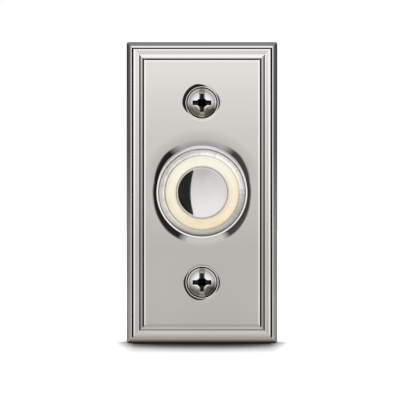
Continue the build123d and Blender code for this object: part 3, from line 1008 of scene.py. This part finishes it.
dull = ((1800.0, 1800.0, 1800.0), 3.0)
tinned_wire = grained_finish(
    "tinned_wire",
    metallic=1.0,
    colour_grain=dull,
    colours=((0.56, 0.56, 0.55), (0.72, 0.72, 0.71)),
    rough_grain=dull,
    rough=(0.24, 0.40),
    relief=0.000002,
)
dress(tinned_wire, *leads)


def middle_of(node):
    low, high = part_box(node)
    return (low + high) / 2


joints = []
for lamp in lamps:
    centre = middle_of(lamp)
    joints += [(centre.x - leg_step, board_back, centre.z), (centre.x + leg_step, board_back, centre.z)]
for lead in leads:
    centre = middle_of(lead)
    joints.append((centre.x, board_front, centre.z))

solder_tree, size = new_tree("solder", ("Radius", "Height"))
ball = {"Segments": 16, "Rings": 8, "Radius": 1.0}
ball = add_node(solder_tree, "GeometryNodeMeshUVSphere", ball).outputs[0]
flat = vector_of(solder_tree, X=size["Radius"], Y=size["Height"], Z=size["Radius"])
beads = {"Points": size["Geometry"], "Instance": ball, "Scale": flat}
beads = add_node(solder_tree, "GeometryNodeInstanceOnPoints", beads).outputs[0]
end_tree(solder_tree, beads, size["Finish"])
board_solder = grow(
    "board_solder", solder_tree, {"Radius": solder_radius, "Height": solder_height}, tinned_wire, joints
)
board_solder.data.polygons.foreach_set("use_smooth", [True] * len(board_solder.data.polygons))
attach(board_solder, "plate")


# Resistor and rectifier diode: a lacquered body with four colour rings, and a black moulding
# with one pale ring at the end that the current leaves by.
speckle_shade = 0.86
speckle_rough = 0.12
ring_step = 0.0007
ring_width = 0.0004
brown = (0.16, 0.06, 0.02)
black = (0.01, 0.01, 0.01)
red = (0.40, 0.02, 0.02)
gold = (0.42, 0.30, 0.08)
pale_ring = (0.0012, 0.0005, (0.55, 0.55, 0.54))


def ringed(name, body, rings, along, middle, rough):
    """Coat with colour rings across it; each ring is its middle, its width and its colour."""
    material, tree, shader, place = new_finish(name)
    speckle = grain(tree, place, (2600.0, 2600.0, 2600.0), detail=3.0)
    coat = between(tree, spread(tree, speckle, 0.0, 1.0), [part * speckle_shade for part in body], body)
    length = parts_of(tree, place)[along]
    for ring, width, ring_colour in rings:
        off = calculate(tree, "SUBTRACT", length, middle + ring)
        on_ring = calculate(tree, "LESS_THAN", calculate(tree, "ABSOLUTE", off), width / 2)
        coat = between(tree, on_ring, coat, ring_colour)
    set_shader(tree, shader, base_color=coat, roughness=spread(tree, speckle, rough, rough + speckle_rough))
    raise_relief(tree, shader, speckle, depth=0.000004)
    return material


resistor_coat = ringed(
    "resistor_coat",
    body=(0.60, 0.47, 0.28),
    rings=[
        (-1.5 * ring_step, ring_width, brown),
        (-0.5 * ring_step, ring_width, black),
        (0.5 * ring_step, ring_width, red),
        (1.5 * ring_step, ring_width, gold),
    ],
    along="X",
    middle=middle_of("resistor").x,
    rough=0.24,
)
dress(resistor_coat, "resistor")
diode_moulding = ringed(
    "diode_moulding",
    body=(0.022, 0.022, 0.023),
    rings=[pale_ring],
    along="Z",
    middle=middle_of("rectifier_diode").z,
    rough=0.38,
)
dress(diode_moulding, "rectifier_diode")


# Lamps: three small diffused lamps on the board, under the light ring, cast in warm white epoxy.
# Their legs go through the board and are soldered at its back.
epoxy_warm = (0.78, 0.70, 0.52)
epoxy_pale = (0.86, 0.80, 0.66)
chip_warm = (1.0, 0.78, 0.44)
chip_pale = (1.0, 0.88, 0.62)

led_epoxy, tree, shader, place = new_finish("led_epoxy")
haze = grain(tree, place, (900.0, 900.0, 900.0), detail=2.0)
set_shader(
    tree,
    shader,
    base_color=between(tree, spread(tree, haze, 0.0, 1.0), epoxy_warm, epoxy_pale),
    roughness=spread(tree, haze, 0.14, 0.24),
    emission_color=between(tree, spread(tree, haze, 0.0, 1.0), chip_warm, chip_pale),
    emission_strength=0.8,
)
raise_relief(tree, shader, haze, depth=0.000003)
dress(led_epoxy, *lamps)


# Studio: white floor, a lamp above and behind, a soft one in front, and a pale room that the metal
# mirrors. A card at the left shines like the room behind it on all but the cap, which mirrors it
# as a dark crescent. The room's lists give its brightness by degrees from straight ahead.
left_room = ((0, 1.0), (30, 1.0), (45, 0.75), (80, 0.60), (98, 0.48), (128, 0.60))
right_room = ((0, 1.0), (50, 1.0), (60, 0.75), (80, 0.60), (98, 0.48), (128, 0.60))
upper_room = ((0, 1.0), (60, 0.85), (67, 1.25), (88, 1.25), (98, 0.45), (128, 0.60))
lower_room = ((0, 1.0), (80, 1.0), (88, 0.70), (94, 0.45), (104, 0.40), (112, 0.60), (160, 0.8))
wall_height = 2.8
wall_blur = 0.35
ground_share = 1.10
sky_share = 0.75
ground_to_sky = (-0.5, 0.7)
soft_light = 0.18
scene = bpy.context.scene
scene.view_settings.view_transform = "Standard"


def by_angle(tree, sideways, ahead, room):
    """Brightness of the room at an angle from straight ahead."""
    turn = calculate(tree, "ARCTAN2", sideways, ahead)
    return tone_along(tree, product(tree, turn, math.degrees(1.0)), room, 180.0)


def room_light(tree, way):
    """Brightness that the metal mirrors in a direction, and its share by height."""
    way = parts_of(tree, way)
    ahead = product(tree, way["Y"], -1.0)
    aside = calculate(tree, "ABSOLUTE", way["X"])
    aloft = calculate(tree, "ABSOLUTE", way["Z"])
    walls = between(
        tree,
        calculate(tree, "GREATER_THAN", way["X"], 0.0),
        by_angle(tree, aside, ahead, left_room),
        by_angle(tree, aside, ahead, right_room),
    )
    ends = between(
        tree,
        calculate(tree, "GREATER_THAN", way["Z"], 0.0),
        by_angle(tree, aloft, ahead, lower_room),
        by_angle(tree, aloft, ahead, upper_room),
    )
    on_wall = calculate(tree, "SUBTRACT", product(tree, aside, wall_height), aloft)
    room = between(tree, spread(tree, on_wall, 0.0, 1.0, -wall_blur, wall_blur), ends, walls)
    return room, spread(tree, way["Z"], ground_share, sky_share, *ground_to_sky)


# The camera sees white, metal mirrors the room, and all else gets a soft light from around.
world = bpy.data.worlds.new("surroundings")
scene.world = world
world.use_nodes = True
tree = world.node_tree
room, sky = room_light(tree, add_node(tree, "ShaderNodeTexCoord").outputs["Generated"])
path = add_node(tree, "ShaderNodeLightPath").outputs
mirrored = calculate(tree, "MAXIMUM", path["Is Glossy Ray"], path["Is Transmission Ray"])
mirrored = product(tree, mirrored, calculate(tree, "LESS_THAN", path["Diffuse Depth"], 0.5))
lit = calculate(tree, "MAXIMUM", path["Is Camera Ray"], soft_light)
backdrop = tree.nodes["Background"]
set_shader(
    tree,
    backdrop,
    color=between(tree, mirrored, (1.0, 1.0, 1.0), room),
    strength=calculate(tree, "MAXIMUM", lit, product(tree, mirrored, sky)),
)


def stage_plane(name, corners):
    mesh = bpy.data.meshes.new(name)
    mesh.from_pydata(corners, [], [(0, 1, 2, 3)])
    plane = bpy.data.objects.new(name, mesh)
    scene.collection.objects.link(plane)
    plane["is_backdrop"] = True
    return plane


card_distance = 2.0
card_half_height = 3.0
card_turns = (math.radians(25.5), math.radians(75.0))
card_line = [(-card_distance * math.sin(turn), -card_distance * math.cos(turn)) for turn in card_turns]
card = stage_plane(
    "cap_card",
    [(*card_line[i], z * card_half_height) for i, z in ((0, -1), (1, -1), (1, 1), (0, 1))],
)
card.visible_camera = False
card.visible_diffuse = False
card.visible_transmission = False
card.visible_shadow = False
card_glow = bpy.data.materials.new("card_glow")
card_glow.use_nodes = True
card_glow.cycles.emission_sampling = "NONE"
tree = card_glow.node_tree
place = add_node(tree, "ShaderNodeTexCoord").outputs["Object"]
place = add_node(tree, "ShaderNodeVectorMath", {0: place}, operation="NORMALIZE").outputs[0]
room, sky = room_light(tree, place)
glow = add_node(tree, "ShaderNodeEmission", {"Color": room, "Strength": sky})
tree.links.new(glow.outputs[0], tree.nodes["Material Output"].inputs["Surface"])
card.data.materials.append(card_glow)
unlit_by_card = bpy.data.collections.new("unlit_by_card")
unlit_by_card.objects.link(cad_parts["button_cap"])
unlit_by_card.collection_objects[0].light_linking.link_state = "EXCLUDE"
card.light_linking.receiver_collection = unlit_by_card

# Floor: white board that the plate stands on. Its shadow is dark under the plate's edge and clears forwards
# and to both sides; near the plate a painted shadow darkens the board's colour as well.
floor_half = 3.0
floor_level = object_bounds()[0][2]
floor_shadow = (0.06, 0.06, 0.06)
floor_pale = (0.93, 0.93, 0.93)
crease_reach = 0.026
crease_open = (0.68, 1.0)
clear_floor = 0.030
far_floor = 0.17
shadow_half = 0.0145
shadow_narrow = 24.0

floor = stage_plane(
    "floor",
    [(x * floor_half, y * floor_half, floor_level) for x, y in ((-1, -1), (1, -1), (1, 1), (-1, 1))],
)
floor.visible_glossy = False
floor_white, tree, shader, place = new_finish("floor_white")
spot = parts_of(tree, place)
outside = calculate(tree, "SUBTRACT", calculate(tree, "ABSOLUTE", spot["X"]), shadow_half)
outside = product(tree, calculate(tree, "MAXIMUM", outside, 0.0), shadow_narrow)
away = length_of(tree, vector_of(tree, X=outside, Y=spot["Y"]))
fading = spread(tree, away, 0.0, 1.0, clear_floor, far_floor)
seen = add_node(tree, "ShaderNodeLightPath").outputs["Is Camera Ray"]
# Near the plate the board's colour is darkened: painted shadow.
openness = spread(tree, hollows(tree, crease_reach), 0.0, 1.0, *crease_open)
set_shader(
    tree,
    shader,
    base_color=between(tree, openness, floor_shadow, floor_pale),
    roughness=0.9,
    specular_ior_level=0.0,
    emission_color=(1.0, 1.0, 1.0, 1.0),
    emission_strength=product(tree, seen, fading),
)
floor.data.materials.append(floor_white)


def area_light(name, place, size, power):
    """Square lamp aimed at the middle of the plate."""
    data = bpy.data.lights.new(name, "AREA")
    data.size = size
    data.energy = power
    light = bpy.data.objects.new(name, data)
    light.location = place
    light.rotation_euler = (-light.location).to_track_quat("-Z", "Y").to_euler()
    light.visible_glossy = False
    scene.collection.objects.link(light)


area_light("overhead", (0.0, 0.30, 0.60), size=0.30, power=4.0)
area_light("front", (0.20, -0.90, 0.08), size=0.40, power=7.0)

# Camera: straight in front, with the plate's panel as large in the picture as in the photograph.
view_distance = 0.8
view_across = -0.000457
view_height = -0.001715
picture_pixels = 400
millimetres_per_pixel = 0.2318
picture_width = picture_pixels * millimetres_per_pixel / millimetres
plate_front = 0.009
camera_data = bpy.data.cameras.new("camera")
camera_data.sensor_width = 36.0
camera_data.lens = camera_data.sensor_width * view_distance / picture_width
camera = bpy.data.objects.new("camera", camera_data)
camera.location = (view_across, -view_distance - plate_front, view_height)
camera.rotation_euler = (math.pi / 2, 0.0, 0.0)
scene.collection.objects.link(camera)
scene.camera = camera
